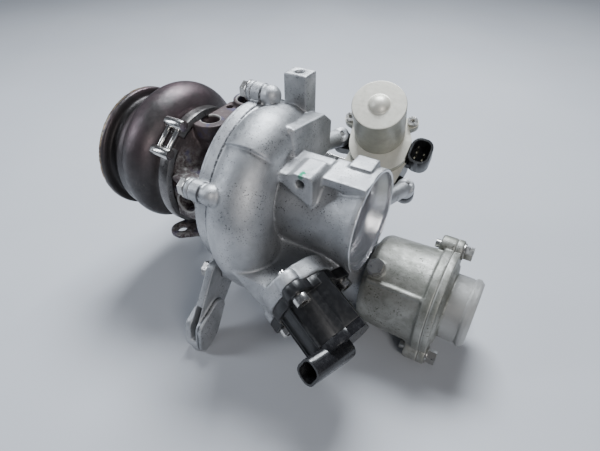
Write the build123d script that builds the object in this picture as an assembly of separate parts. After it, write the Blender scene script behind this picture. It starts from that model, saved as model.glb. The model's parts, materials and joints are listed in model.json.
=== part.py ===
from build123d import *
import math
import os

# Exhaust turbocharger with electric wastegate actuator, diverter valve and pulsation damper.
# Millimetres. Origin: centre of the compressor inlet mouth, on the shaft axis.
# +X runs along the shaft out of the inlet, +Z is up. Angles round the shaft run from +Y to +Z.

# ---- driving dimensions: compressor housing ----------------------------------------------------
WALL = 4.0
TUBE_R = 26.0
INLET_BORE_R = 23.5
MOUTH_R = 30.0
MOUTH_LENGTH = 11.0
MOUTH_BELL_R = 28.2
MOUTH_LAND = 2.5
INDUCER_R = 20.3
EXDUCER_R = 26.2
COVER_R = 52.0
COVER_FRONT_X = -73.0
COVER_REAR_X = -79.5
DIFFUSER_FRONT_X = -70.5
DIFFUSER_REAR_X = -75.5
SCROLL_REAR_X = -77.5
SCROLL_START_DEG = -50.0
SCROLL_END_DEG = 262.0
SCROLL_START_R = 7.5
SCROLL_END_R = 20.5
LEDGE_TOP_Z = 29.5
LIFT_TOP_Z = 63.5

# ---- backplate and its bolts -------------------------------------------------------------------
BACKPLATE_REAR_X = -82.0
PILOT_R = 45.5
LEG_BOLT_R = 60.0
LEG_BOLT_DEG = 222.0
BOLT_CIRCLE_R = 55.3
BOLT_ANGLES = (154.5, 81.5, 22.0, -38.0, -92.0)
BOLT_R = 3.0
BOLT_HEAD_R = 5.0
BOSS_R = 5.8
BOSS_NECK_R = 4.6
BOSS_FRONT_X = -69.0

# ---- centre housing and rotor ------------------------------------------------------------------
CENTRE_REAR_X = -117.5
NOSE_X = -121.2
CENTRE_FLANGE_R = 36.0
CENTRE_BODY_R = 22.0
OIL_PAD_Z = 35.0
OIL_X = -107.5
OIL_BOLT_AT = (-108.0, 19.5)
COOLANT_AT = (-100.0, 31.0)
COOLANT_R = 8.5
SIDE_PORT_AT = (-105.0, -5.0)
SIDE_PORT_R = 6.0
DRAIN_X = -104.0
DRAIN_Z = -42.0
DRAIN_EAR = (-124.0, -24.0)
JOURNAL_R = 4.0
SEAL_BORE_R = 5.6
SEAL_INSERT_R = 9.95
THRUST_POCKET_R = 13.9
BEARING_R = 7.0
RUNNING = 0.03
WHEEL_GAP = 0.4

# ---- turbine housing ---------------------------------------------------------------------------
OUTLET_X = -169.0
OUTLET_FLANGE_R = 40.2
OUTLET_BORE_R = 33.0
CHAMBER_R = 34.0
CHAMBER_X = -154.0
TURBINE_SCROLL_X = -138.0
TURBINE_SCROLL_BASE_R = 18.5
TURBINE_WALL = 4.5
TURBINE_START_R = 16.8
TURBINE_END_R = 8.0
TURBINE_START_DEG = 0.0
TURBINE_END_DEG = 310.0
TURBINE_EXDUCER_R = 18.5
TURBINE_TIP_R = 21.5
FLANGE_FACE_Z = -76.0
FLANGE_T = 11.0
FLANGE_CENTRE = (-138.0, 60.0)
FLANGE_SIZE = (66.0, 54.0)
FLANGE_PORT = (38.0, 28.0)
STUD_PITCH = (50.0, 38.0)
STUD_HOLE_R = 4.5

# ---- V-band clamp ------------------------------------------------------------------------------
VBAND_R = 37.8
LATCH_R = 41.5
LATCH_PIN_R = 3.2
LATCH_ROLL_HALF = 6.2
LATCH_BAR_R = 1.6
LATCH_BAR_OFFSET = 3.4
LATCH_ANGLES = (116.3, 141.7)

# ---- actuator: local x along the plate, local y up the plate, local z out along the motor can --
ACT_AXIS = (0.12, -0.56, 0.82)
CAN_TOP = (-22.5, 51.0, 43.5)
CAN_R = 16.2
CAN_LENGTH = 33.0
PLATE_T = 5.0
PLATE_DISCS = ((0.0, 0.0, 18.5), (3.0, -7.0, 20.0))
CASE_DEPTH = 26.0
CASE_WALL = 1.8
CASE_TOP = -6.0
OUTPUT_AT = (3.0, -28.0)
VALVE_SPINDLE_AT = (-132.6, OUTPUT_AT[1])
LEVER_LENGTH = 14.0
LEVER_REST_DEG = 104.0
LEVER_Z = -32.0
LEVER_T = 3.0
ROD_T = 3.0
PIN_R = 2.5
IDLER_PIN_R = 1.5
OUTPUT_SHAFT_R = 4.0
SPINDLE_R = 3.5
FLAP_R = 6.8
FLAP_T = 2.0
FLAP_DROP = 18.0
WASTEGATE_TRAVEL = 20
LUGS_AT = ((-24.5, -9.0), (28.5, -28.5))
LUG_FOOT_Z, LUG_FACE_Z, LUG_TOP_Z = -19.0, -11.0, -3.0
EARS_AT = ((-21.5, 3.0), (17.3, 12.9))
CONNECTOR_AT = (29.0, -3.5)
CONNECTOR_SIZE = (14.0, 18.0)

# gears: module and tooth counts of the two stages
MODULE_1, PINION_TEETH, IDLER_TEETH = 0.6, 9, 36
MODULE_2, IDLER_SMALL_TEETH, OUTPUT_TEETH = 1.0, 10, 30

# ---- diverter valve: local z along its piston --------------------------------------------------
DV_CENTRE = (-20.2, -42.2, -28.0)
DV_AXIS = (0.88, -0.34, -0.33)
DV_FRONT = (0.074, -0.585, 0.808)
DV_BODY_R = 17.0
DV_EAR_R = 23.5
DV_EARS = (0.0, 120.0, -120.0)
DV_FLANGE_T = 6.0
DV_LENGTH = 36.0
DV_BORE_R = 15.0
PISTON_R = 12.2
PISTON_FOOT_Z = -8.5
DV_PLUG_DEG = 45.0
DV_PLUG_Z = 37.0
DV_PLUG_REACH = 27.0
DV_COVER_Z = 31.0
DV_PANEL_AT = (7.5, -11.8)
DV_PANEL_SIZE = (15.0, 9.6)

# ---- pulsation damper --------------------------------------------------------------------------
DAMPER_Y = 10.0
DAMPER_Z = -49.5
DAMPER_R = 29.2
DAMPER_REAR_X = 1.5
DAMPER_FLANGE_X = 38.0
DAMPER_JOINT_X = 43.0
DAMPER_FRONT_X = 47.0
DAMPER_BOLT_R = 32.5
DAMPER_BOLT_ANGLES = (52.0, 230.0, -20.0)
OUTLET_PIPE_R = 20.3
OUTLET_PIPE_BORE_R = 16.5
MOUNT_BOLT_R = 25.0
MOUNT_BOLT_ANGLES = (0.0, 240.0, 300.0)
DAMPER_RIB_DEGS = (140.0, 320.0)
PLUG_DEG = 125.0
STUB_R = 19.6
STUB_END_X = 64.5

# ---- support leg -------------------------------------------------------------------------------
LEG_FRONT_X = -74.5
LEG_FOOT = (-69.5, -75.0)
LEG_FOOT_Z = -81.0


# ---- helpers -----------------------------------------------------------------------------------
def polar(radius, degrees):
    """Y and Z of a point on a circle round the shaft."""
    angle = math.radians(degrees)
    return radius * math.cos(angle), radius * math.sin(angle)


def rod_x(radius, x0, x1, y=0.0, z=0.0):
    """A cylinder parallel to the shaft from x0 to x1."""
    low, high = min(x0, x1), max(x0, x1)
    base = Cylinder(radius, high - low, align=(Align.CENTER, Align.CENTER, Align.MIN))
    return Pos(low, y, z) * Rot(0, 90, 0) * base


def ring_x(outer, inner, x0, x1, y=0.0, z=0.0):
    return rod_x(outer, x0, x1, y, z) - rod_x(inner, min(x0, x1) - 1, max(x0, x1) + 1, y, z)


def block(x0, x1, y0, y1, z0, z1):
    """A box between two corners."""
    place = Pos((x0 + x1) / 2, (y0 + y1) / 2, (z0 + z1) / 2)
    return place * Box(abs(x1 - x0), abs(y1 - y0), abs(z1 - z0))


def turned(points, y=0.0, z=0.0):
    """A body of revolution round an axis parallel to the shaft, from (x, r) points."""
    outline = Polyline(*points, close=True)
    return Pos(0, y, z) * revolve(Plane.XZ * make_face(outline), Axis.X)


def frame_at(origin, axis, x_dir=None):
    """A location whose local Z runs along an axis."""
    if x_dir is None:
        return Plane(origin=tuple(origin), z_dir=tuple(axis)).location
    return Plane(origin=tuple(origin), x_dir=tuple(x_dir), z_dir=tuple(axis)).location


def post(place, radius, z0, z1, at=(0.0, 0.0)):
    """A cylinder along the local Z of a frame."""
    low, high = min(z0, z1), max(z0, z1)
    base = Cylinder(radius, high - low, align=(Align.CENTER, Align.CENTER, Align.MIN))
    return place * Pos(at[0], at[1], low) * base


def slab(place, outline, z0, z1):
    """A sketch extruded along the local Z of a frame."""
    return place * Pos(0, 0, min(z0, z1)) * extrude(outline, abs(z1 - z0))


def strut(start, end, radius):
    """A round bar between two points."""
    a, b = Vector(*start), Vector(*end)
    return post(frame_at(a, b - a), radius, 0, (b - a).length)


def wrap(*discs):
    """The outline stretched round some discs, each given as (x, y, radius)."""
    edges = []
    for x, y, radius in discs:
        edges += (Pos(x, y) * Circle(radius)).edges()
    return make_hull(edges)


def hexagon(place, across_flats, z0, z1, at=(0.0, 0.0)):
    outline = Pos(*at) * RegularPolygon(across_flats / math.sqrt(3), 6)
    return slab(place, outline, z0, z1)


def even_growth(start_r, end_r, start_deg, end_deg):
    """A section radius whose area changes evenly with the angle."""
    def radius(degrees):
        part = (degrees - start_deg) / (end_deg - start_deg)
        return math.sqrt(start_r**2 + (end_r**2 - start_r**2) * part)
    return radius


def scroll(angles, radius_at, centre_at, x_at):
    """A spiral body lofted through round sections round the shaft."""
    sections = []
    for degrees in angles:
        y, z = polar(centre_at(degrees), degrees)
        ty, tz = polar(1.0, degrees + 90)
        plane = Plane(origin=(x_at(degrees), y, z), x_dir=(1, 0, 0), z_dir=(0, ty, tz))
        sections.append(plane * Circle(radius_at(degrees)))
    return loft(sections)


def steps(start, end, count):
    return [start + (end - start) * i / (count - 1) for i in range(count)]


def save(name, shape):
    export_step(shape, os.path.join("parts", name + ".step"))


# ---- shared frames -----------------------------------------------------------------------------
ACT_Z = Vector(*ACT_AXIS).normalized()
ACT_X = (Vector(1, 0, 0) - ACT_Z * ACT_Z.X).normalized()
PLATE_TOP = Vector(*CAN_TOP) - ACT_Z * CAN_LENGTH
ACT = frame_at(PLATE_TOP, ACT_Z, ACT_X)
DV_Z = Vector(*DV_AXIS).normalized()
DV_X = (Vector(*DV_FRONT) - DV_Z * DV_Z.dot(Vector(*DV_FRONT))).normalized()
DV = frame_at(DV_CENTRE, DV_Z, DV_X)


def act_point(x, y, z):
    """A point of the actuator's frame in the part's frame."""
    return PLATE_TOP + ACT_X * x + ACT_Z.cross(ACT_X) * y + ACT_Z * z


def dv_point(x, y, z):
    return Vector(*DV_CENTRE) + DV_X * x + DV_Z.cross(DV_X) * y + DV_Z * z


def dv_ear(degrees):
    angle = math.radians(degrees)
    return DV_EAR_R * math.cos(angle), DV_EAR_R * math.sin(angle)


def damper_point(radius, degrees):
    y, z = polar(radius, degrees)
    return DAMPER_Y + y, DAMPER_Z + z


# ---- compressor housing ------------------------------------------------------------------------
comp_radius = even_growth(SCROLL_START_R, SCROLL_END_R, SCROLL_START_DEG, SCROLL_END_DEG)
COMP_ANGLES = steps(SCROLL_START_DEG, SCROLL_END_DEG, 14)


def comp_centre(degrees):
    return EXDUCER_R + 0.5 + comp_radius(degrees) - WALL


def comp_x(degrees):
    return SCROLL_REAR_X + comp_radius(degrees)


def comp_bore(degrees):
    return comp_radius(degrees) - WALL


def scroll_end():
    y, z = polar(comp_centre(SCROLL_END_DEG), SCROLL_END_DEG)
    return comp_x(SCROLL_END_DEG), y, z


def discharge(radius, end_x):
    """From the end of the volute sideways, round an elbow, then along +X to the damper."""
    elbow = (scroll_end()[0], DAMPER_Y, DAMPER_Z)
    run = strut(scroll_end(), elbow, radius) + Pos(*elbow) * Sphere(radius)
    return run + Pos(*scroll_end()) * Sphere(radius) + rod_x(radius, elbow[0], end_x, DAMPER_Y, DAMPER_Z)


def cover_outside():
    tube = turned([(-60, 0), (-60, TUBE_R), (-MOUTH_LENGTH - 9, TUBE_R), (-MOUTH_LENGTH, TUBE_R + 2),
                   (-3, MOUTH_R), (0, MOUTH_R), (0, 0)])
    dish = turned([(COVER_REAR_X, 0), (COVER_REAR_X, COVER_R), (COVER_FRONT_X, COVER_R),
                   (COVER_FRONT_X + 1.5, COVER_R - 2.5), (-62, TUBE_R + 12), (-50, TUBE_R), (-50, 0)])
    body = tube + dish + scroll(COMP_ANGLES, comp_radius, comp_centre, comp_x)
    for angle in BOLT_ANGLES:
        y, z = polar(BOLT_CIRCLE_R, angle)
        body += rod_x(BOSS_R, COVER_REAR_X, COVER_FRONT_X, y, z)
        body += rod_x(BOSS_NECK_R, COVER_FRONT_X, BOSS_FRONT_X, y, z) + Pos(BOSS_FRONT_X, y, z) * Sphere(BOSS_R)
    return body + discharge(OUTLET_PIPE_R, DAMPER_REAR_X - 0.5)


def cover_ribs():
    """The cast ledge and boss over the inlet tube, the lifting post and the square boss behind it."""
    web_face = Polyline((-64, 31), (-64, 28), (-44, 25), (-27, 15), (-25, 17), (-25, 31.5), (-27, 33), (-36, 33),
                        (-40, 31), close=True)
    web = Pos(0, -5, 0) * extrude(Plane.XZ * make_face(web_face), 19) + block(-52, -25, -6, 3, 22, 31)
    ledge = block(-26, 0, -15, 7, 24.5, LEDGE_TOP_Z) + block(-17, -4, 0, 13, 16, 31.5)
    square_face = Polyline((-7.5, 20), (-7.5, 47), (26.6, 42), (35.7, 34.6), (35, 15), (20, 12), close=True)
    square_boss = Pos(-74, 0, 0) * extrude(Plane.YZ * make_face(square_face), 29)
    lug = block(-69, -54.5, 21, 33, 38, LIFT_TOP_Z)
    return web + ledge + square_boss + lug


def diverter_duct():
    """The prism between the volute and the diverter valve's face."""
    prism = slab(DV, Rectangle(46, 44), -72, 0) & block(-79, 20, -57, -12, -62, -17)
    shoulder = block(-74, -32, -46.5, -8, -40, -20.5)
    ears = [post(DV, 6.0, -7, 0, dv_ear(a)) for a in DV_EARS]
    return prism + shoulder + post(DV, 20.5, -10, 0) + ears - post(DV, 40, 0, 80)


def diverter_space():
    """Room for the diverter valve, its lobes and its screws."""
    lobes = [wrap((x * 0.55, y * 0.55, 9.5), (x, y, 6.5)) for x, y in map(dv_ear, DV_EARS)]
    return slab(DV, wrap((0, 0, 20.0)) + lobes, 0, 40)


def actuator_arms():
    """The two arms that carry the wastegate actuator."""
    (left_x, left_y), (right_x, right_y) = LUGS_AT
    body = strut((-60, 34, 12), act_point(left_x - 1, left_y, -8), 6)
    body += strut((-9, 20, -6), act_point(right_x, right_y, -6), 5)
    body += [post(ACT, 6.0, LUG_FACE_Z, LUG_TOP_Z, at) for at in LUGS_AT]
    body -= slab(ACT, plate_outline(0.4), -PLATE_T - 0.4, 30)
    body -= slab(ACT, case_outline(CASE_WALL + 0.4), -32, 30)
    return body - [post(ACT, 7.0, -40, LUG_FACE_Z, at) for at in LUGS_AT]


def cover_cuts():
    """Everything hollow in the compressor housing."""
    inlet = turned([(6, 0), (6, MOUTH_BELL_R), (-MOUTH_LAND, MOUTH_BELL_R), (-8, INLET_BORE_R + 1),
                    (-11, INLET_BORE_R),
                    (-40, INLET_BORE_R), (-48, INDUCER_R), (-55, INDUCER_R), (-63, INDUCER_R + 1.2),
                    (-68, INDUCER_R + 3.2), (DIFFUSER_FRONT_X, EXDUCER_R), (DIFFUSER_FRONT_X, PILOT_R - 5),
                    (DIFFUSER_REAR_X, PILOT_R - 5), (DIFFUSER_REAR_X, PILOT_R), (-90, PILOT_R), (-90, 0)])
    cuts = [inlet, scroll(COMP_ANGLES, comp_bore, comp_centre, comp_x), discharge(OUTLET_PIPE_BORE_R, 5)]
    for angle in BOLT_ANGLES:
        y, z = polar(BOLT_CIRCLE_R, angle)
        cuts.append(rod_x(BOLT_R, -90, BOSS_FRONT_X + 1, y, z))
    for angle in MOUNT_BOLT_ANGLES:
        y, z = damper_point(MOUNT_BOLT_R, angle)
        cuts.append(rod_x(2.7, -12, 5, y, z))
    cuts.append(post(DV, DV_BORE_R, -10, 1))
    cuts.append(strut(dv_point(-7, 0, -8), (-60, -34, -31), 6.5))
    bend = (-30, -18, -27)
    cuts.append(strut(dv_point(-4, 0, -6), bend, 4.5) + strut(bend, (-30, -13, -14), 4.5))
    cuts += [post(DV, 2.1, -11, 1, dv_ear(a)) for a in DV_EARS]
    cuts.append(Pos(-32.5, -24.5, 27.4) * Rot(-90, 0, 0) * Cylinder(2.5, 16))
    cuts.append(Pos(-62, 27, LIFT_TOP_Z) * Cylinder(2.6, 24))
    cuts += [post(ACT, 2.5, LUG_FACE_Z - 1, LUG_TOP_Z + 1, at) for at in LUGS_AT]
    return cuts


def compressor_housing():
    body = cover_outside() + cover_ribs() + diverter_duct() + actuator_arms()
    for angle in MOUNT_BOLT_ANGLES:
        y, z = damper_point(MOUNT_BOLT_R, angle)
        body += rod_x(6, -5, DAMPER_REAR_X - 0.5, y, z)
    return body - diverter_space() - cover_cuts()


# ---- backplate, bolts, seal --------------------------------------------------------------------
def backplate():
    body = rod_x(COVER_R - 1.5, BACKPLATE_REAR_X, COVER_REAR_X)
    body += rod_x(PILOT_R - 0.2, COVER_REAR_X, DIFFUSER_REAR_X)
    for angle in BOLT_ANGLES:
        y, z = polar(BOLT_CIRCLE_R, angle)
        body += rod_x(BOSS_R, BACKPLATE_REAR_X, COVER_REAR_X, y, z)
    leg_bolt = polar(LEG_BOLT_R, LEG_BOLT_DEG)
    leg_lug = wrap((*polar(42, LEG_BOLT_DEG), 9), (*leg_bolt, 6.5))
    body += Pos(BACKPLATE_REAR_X, 0, 0) * extrude(Plane.YZ * leg_lug, COVER_REAR_X - BACKPLATE_REAR_X)
    body -= [rod_x(BOLT_R + 0.3, -90, -78, *polar(BOLT_CIRCLE_R, a)) for a in BOLT_ANGLES]
    body -= rod_x(BOLT_R + 0.3, -90, -78, *leg_bolt)
    body -= ring_x(PILOT_R, PILOT_R - 2.4, -78.9, -76.7)
    body -= rod_x(SEAL_INSERT_R + 0.05, -95, -70)
    return body


def backplate_oring():
    return revolve(Plane.XZ * (Pos(-77.8, PILOT_R - 1.25) * Circle(1.0)), Axis.X)


def backplate_bolts():
    bolts = []
    for angle in BOLT_ANGLES:
        y, z = polar(BOLT_CIRCLE_R, angle)
        bolts.append(flange_bolt(y, z, BOSS_FRONT_X))
    bolts.append(flange_bolt(*polar(LEG_BOLT_R, LEG_BOLT_DEG), LEG_FRONT_X - 1))
    return Compound(children=bolts)


def flange_bolt(y, z, end_x):
    place = frame_at((BACKPLATE_REAR_X, y, z), (-1, 0, 0))
    head = post(place, BOLT_HEAD_R + 0.8, 0, 1.2) + hexagon(place, 8.6, 1.2, 5)
    return head + rod_x(BOLT_R - 0.05, BACKPLATE_REAR_X, end_x, y, z)


# ---- centre housing ----------------------------------------------------------------------------
def centre_housing():
    front, rear = BACKPLATE_REAR_X, CENTRE_REAR_X
    oil_top = wrap((OIL_X, 0, 11), (OIL_BOLT_AT[0], OIL_BOLT_AT[1], 7.5))
    body = Pos(0, 0, OIL_PAD_Z - 9) * extrude(oil_top, 9) + Pos(OIL_X, 0, 8) * extrude(Circle(10), 20)
    body += Pos(*COOLANT_AT, 8) * extrude(Circle(COOLANT_R + 2.5), 30) + block(-110, -93, 6, 30, 5, 26)
    body += block(-117, -97, -34, -12, -16, 12)
    plate = wrap((DRAIN_X, 0, 13), (*DRAIN_EAR, 7.5), (DRAIN_X, 26, 7.5))
    body += Pos(DRAIN_X, 0, DRAIN_Z + 2) * extrude(Circle(11), 30)
    body -= ring_x(60, 9, rear - 20, rear + 5)
    body += Pos(0, 0, DRAIN_Z) * extrude(plate, 4)
    body += turned([(front, 0), (front, 31), (front - 5, 31), (front - 9, CENTRE_BODY_R + 2),
                    (-108, CENTRE_BODY_R), (rear + 6.5, CENTRE_BODY_R + 4),
                    (rear + 3.4, CENTRE_FLANGE_R - 3), (rear + 2.2, CENTRE_FLANGE_R),
                    (rear, CENTRE_FLANGE_R), (rear, 9.5), (NOSE_X, 9.5), (NOSE_X, 0)])
    cuts = [rod_x(BEARING_R, -116.5, -92), rod_x(SEAL_BORE_R, NOSE_X - 1, -100), rod_x(14, -94, front + 1)]
    cuts += [Pos(OIL_X, 0, OIL_PAD_Z) * Cylinder(5.5, 16), Pos(OIL_X, 0, 20) * Cylinder(2, 40)]
    cuts += [Pos(*OIL_BOLT_AT, OIL_PAD_Z) * Cylinder(2.2, 18), Pos(*COOLANT_AT, 38) * Cylinder(COOLANT_R, 30)]
    cuts += [Pos(SIDE_PORT_AT[0], -30, SIDE_PORT_AT[1]) * Rot(90, 0, 0) * Cylinder(SIDE_PORT_R, 20)]
    cuts += [Pos(-112, -30, 7) * Rot(90, 0, 0) * Cylinder(2.2, 18)]
    cuts += [Pos(DRAIN_X, 0, -34) * Cylinder(7.5, 44)]
    cuts += [Pos(x, y, DRAIN_Z) * Cylinder(3.3, 20) for x, y in (DRAIN_EAR, (DRAIN_X, 26))]
    return body - cuts


# ---- rotor -------------------------------------------------------------------------------------
def vanes(count, outline, thickness, start_deg=0.0):
    """Radial blades of an (x, r) outline."""
    face = Plane.XZ * make_face(Polyline(*outline, close=True))
    blade = Pos(0, thickness / 2, 0) * extrude(face, thickness)
    return [Rot(start_deg + 360.0 * i / count, 0, 0) * blade for i in range(count)]


def turbine_rotor():
    hub = turned([(-126, 0), (-126, TURBINE_TIP_R - 1.5), (-128, TURBINE_TIP_R - 2), (-133, 12), (-140, 7.5),
                  (-151, 6), (-153, 4), (-153, 0)])
    outline = [(-126, 4), (-126, TURBINE_TIP_R - WHEEL_GAP), (-134, TURBINE_TIP_R - WHEEL_GAP),
               (-140, TURBINE_EXDUCER_R), (-151, TURBINE_EXDUCER_R), (-151, 4)]
    shaft = rod_x(JOURNAL_R, -126, -94) + rod_x(3.0, -94, -46.5) + rod_x(5.3, -126, -117)
    return hub + vanes(11, outline, 1.2) + shaft - ring_x(8, 4.2, -120.6, -119)


def compressor_wheel():
    tip = EXDUCER_R - WHEEL_GAP
    hub = turned([(-75, 3.02), (-75, tip), (-74, tip), (-70.5, 17), (-65, 10), (-57, 7), (-53, 6),
                  (-53, 3.02)])
    shroud = [(-71, tip), (-68, INDUCER_R + 2.7), (-63, INDUCER_R + 0.7), (-55, INDUCER_R - WHEEL_GAP)]
    full = [(-74.2, 4), (-74.2, tip), *shroud, (-55, 4)]
    half = [(-74.2, 8), (-74.2, tip), *shroud[:3], (-63, 8)]
    return hub + vanes(6, full, 0.9) + vanes(6, half, 0.9, 30) - rod_x(3.02, -80, -50)


def shaft_nut():
    nut = hexagon(frame_at((-53, 0, 0), (1, 0, 0)), 9, 0, 4) + rod_x(4.2, -49, -47.5)
    return nut - rod_x(3.02, -60, -40)


def thrust_collar():
    return turned([(-94, 3.02), (-94, 7.5), (-92, 7.5), (-92, 4.9), (-88.6, 4.9), (-88.6, 7.5), (-87, 7.5),
                   (-87, 3.02)])


def oil_flinger():
    return turned([(-87, 3.02), (-87, 6.1), (-84.3, 6.1), (-84.3, 4.6), (-82.5, 4.6), (-82.5, 6.1),
                   (-75, 6.1), (-75, 3.02)])


def thrust_bearing():
    return ring_x(THRUST_POCKET_R - 0.1, 5.2, -91.4, -89.2)


def seal_insert():
    body = ring_x(THRUST_POCKET_R - 0.1, 6.35, -86.2, BACKPLATE_REAR_X)
    return body + ring_x(SEAL_INSERT_R, 6.35, BACKPLATE_REAR_X, -76)


def journal_bearing(x0, x1):
    return ring_x(BEARING_R - RUNNING, JOURNAL_R + RUNNING, x0, x1)


def heat_shield():
    face = CENTRE_REAR_X
    return turned([(-122.3, 6.2), (-122.3, 21.8), (face, 23.8), (face, 30), (face - 0.8, 30),
                   (face - 0.8, 24.7), (-123.1, 22.4), (-123.1, 6.2)])


# ---- turbine housing ---------------------------------------------------------------------------
turbine_radius = even_growth(TURBINE_START_R, TURBINE_END_R, TURBINE_START_DEG, TURBINE_END_DEG)
TURBINE_ANGLES = steps(TURBINE_START_DEG, TURBINE_END_DEG, 13)


def turbine_centre(degrees):
    return TURBINE_SCROLL_BASE_R + turbine_radius(degrees)


def turbine_x(degrees):
    return TURBINE_SCROLL_X


def turbine_bore(degrees):
    return turbine_radius(degrees) - TURBINE_WALL


def inlet_duct(radius, port, z_end):
    """From the start of the turbine scroll down to the flange's port."""
    y0 = turbine_centre(TURBINE_START_DEG)
    top = Plane(origin=(TURBINE_SCROLL_X, y0, 0), x_dir=(1, 0, 0), z_dir=(0, 0, -1)) * Circle(radius)
    mid = Plane(origin=(TURBINE_SCROLL_X, y0 + 8, -32), x_dir=(1, 0, 0), z_dir=(0, 0.3, -1))
    foot = Plane(origin=(FLANGE_CENTRE[0], FLANGE_CENTRE[1], z_end), x_dir=(1, 0, 0), z_dir=(0, 0, -1))
    return loft([top, mid * Circle(radius), foot * Ellipse(port[0] / 2, port[1] / 2)])


def turbine_housing():
    face = CENTRE_REAR_X
    x, y = VALVE_SPINDLE_AT
    body = scroll(TURBINE_ANGLES, turbine_radius, turbine_centre, turbine_x)
    wide = (FLANGE_PORT[0] + 12, FLANGE_PORT[1] + 12)
    body += inlet_duct(TURBINE_START_R, wide, FLANGE_FACE_Z + 2)
    body += Pos(*FLANGE_CENTRE, FLANGE_FACE_Z) * extrude(RectangleRounded(*FLANGE_SIZE, 9), FLANGE_T)
    body += post(ACT, 9.5, -14, 22, (x, y)) + post(ACT, 7.5, -26, -14, (x, y))
    body += slab(ACT, Pos(x - 1, y - 6) * Rectangle(17, 14), -12, 20)
    body -= ring_x(60, 33, face - 5.2, face + 10)
    body += turned([(face, 0), (face, CENTRE_FLANGE_R), (face - 2.2, CENTRE_FLANGE_R),
                    (face - 3.4, CENTRE_FLANGE_R - 3), (face - 5.5, 33), (-128, 36), (-148, 39),
                    (-155, 38.2), (-157.5, 36), (-159, 35), (-163, 35), (-165, OUTLET_FLANGE_R),
                    (OUTLET_X, OUTLET_FLANGE_R), (OUTLET_X, 0)])
    body -= turned([(OUTLET_X - 1, 0), (OUTLET_X - 1, OUTLET_BORE_R), (-162, OUTLET_BORE_R),
                    (-160, CHAMBER_R), (CHAMBER_X, CHAMBER_R), (CHAMBER_X, TURBINE_EXDUCER_R + WHEEL_GAP),
                    (-140, TURBINE_EXDUCER_R + WHEEL_GAP), (-134, TURBINE_TIP_R + WHEEL_GAP), (-134, 27),
                    (-126.5, 27), (-124.5, 23.8), (face - 2, 25.8), (face - 0.9, 25.8), (face - 0.9, 31),
                    (face + 1, 31), (face + 1, 0)])
    body -= scroll(TURBINE_ANGLES, turbine_bore, turbine_centre, turbine_x)
    body -= inlet_duct(TURBINE_START_R - TURBINE_WALL, FLANGE_PORT, FLANGE_FACE_Z - 1)
    for i in (-1, 1):
        for j in (-1, 1):
            at = (FLANGE_CENTRE[0] + i * STUD_PITCH[0] / 2, FLANGE_CENTRE[1] + j * STUD_PITCH[1] / 2)
            body -= Pos(*at, FLANGE_FACE_Z) * Cylinder(STUD_HOLE_R, 40)
    body -= post(ACT, 5.0, -27, -8, (x, y)) + post(ACT, 6.5, -8, 18, (x, y))
    body -= slab(ACT, Pos(x - 1.5, y - 11) * Rectangle(10.4, 24), -5, 17)
    body -= rod_x(5.0, CHAMBER_X - 1, CHAMBER_X + 8, *flap_centre())
    pipe_clamp_space = ring_x(OUTLET_FLANGE_R + 4.5, OUTLET_FLANGE_R, OUTLET_X - 6, OUTLET_X + 4.4)
    return body - arm_sweep() - pipe_clamp_space


def flap_centre():
    """Y and Z of the wastegate seat, below the spindle and square to the shaft."""
    at = act_point(VALVE_SPINDLE_AT[0], VALVE_SPINDLE_AT[1] - FLAP_DROP, 6)
    return at.Y, at.Z


def turbine_seal_ring():
    return ring_x(SEAL_BORE_R, 4.6, -120.4, -119.2)


# ---- V-band clamp ------------------------------------------------------------------------------


def vband_band():
    """The channel section round both flanges, cut open under the latch."""
    half = [(4.6, 33.7), (4.6, 34.8), (3.2, VBAND_R), (-3.2, VBAND_R), (-4.6, 34.8), (-4.6, 33.7),
            (-3.5, 33.7), (-2.4, 36.3), (2.4, 36.3), (3.5, 33.7)]
    band = turned([(CENTRE_REAR_X + x, r) for x, r in half])
    middle = sum(LATCH_ANGLES) / 2
    y, z = polar(VBAND_R, middle)
    band -= Pos(CENTRE_REAR_X, y, z) * Rot(middle, 0, 0) * Box(12, 12, 8)
    for degrees in LATCH_ANGLES:
        y, z = polar(VBAND_R, degrees)
        band += Pos(CENTRE_REAR_X, y, z) * Rot(degrees, 0, 0) * Box(6.4, 3.2, 3)
    trunnions = [rod_x(LATCH_PIN_R, -126, -108, *polar(LATCH_R, d)) for d in LATCH_ANGLES]
    return band - trunnions - flange_space()


def flange_space():
    face = CENTRE_REAR_X
    return turned([(face + 3.5, 0), (face + 3.5, 33.7), (face + 2.4, 36.3), (face - 2.4, 36.3),
                   (face - 3.5, 33.7), (face - 3.5, 0)])


def vband_trunnions():
    places = [polar(LATCH_R, d) for d in LATCH_ANGLES]
    return Compound(children=[latch_roll(LATCH_PIN_R, y, z) for y, z in places])


def latch_roll(radius, y, z):
    return rod_x(radius, CENTRE_REAR_X - LATCH_ROLL_HALF, CENTRE_REAR_X + LATCH_ROLL_HALF, y, z)


def vband_latch():
    """The two bolts that draw the trunnions together."""
    ends = [polar(LATCH_R, d) for d in LATCH_ANGLES]
    bars = []
    for x in (CENTRE_REAR_X - LATCH_BAR_OFFSET, CENTRE_REAR_X + LATCH_BAR_OFFSET):
        bar = strut((x, *ends[0]), (x, *ends[1]), LATCH_BAR_R)
        bars.append(bar - [latch_roll(LATCH_PIN_R, y, z) for y, z in ends])
    return Compound(children=bars)


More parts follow.
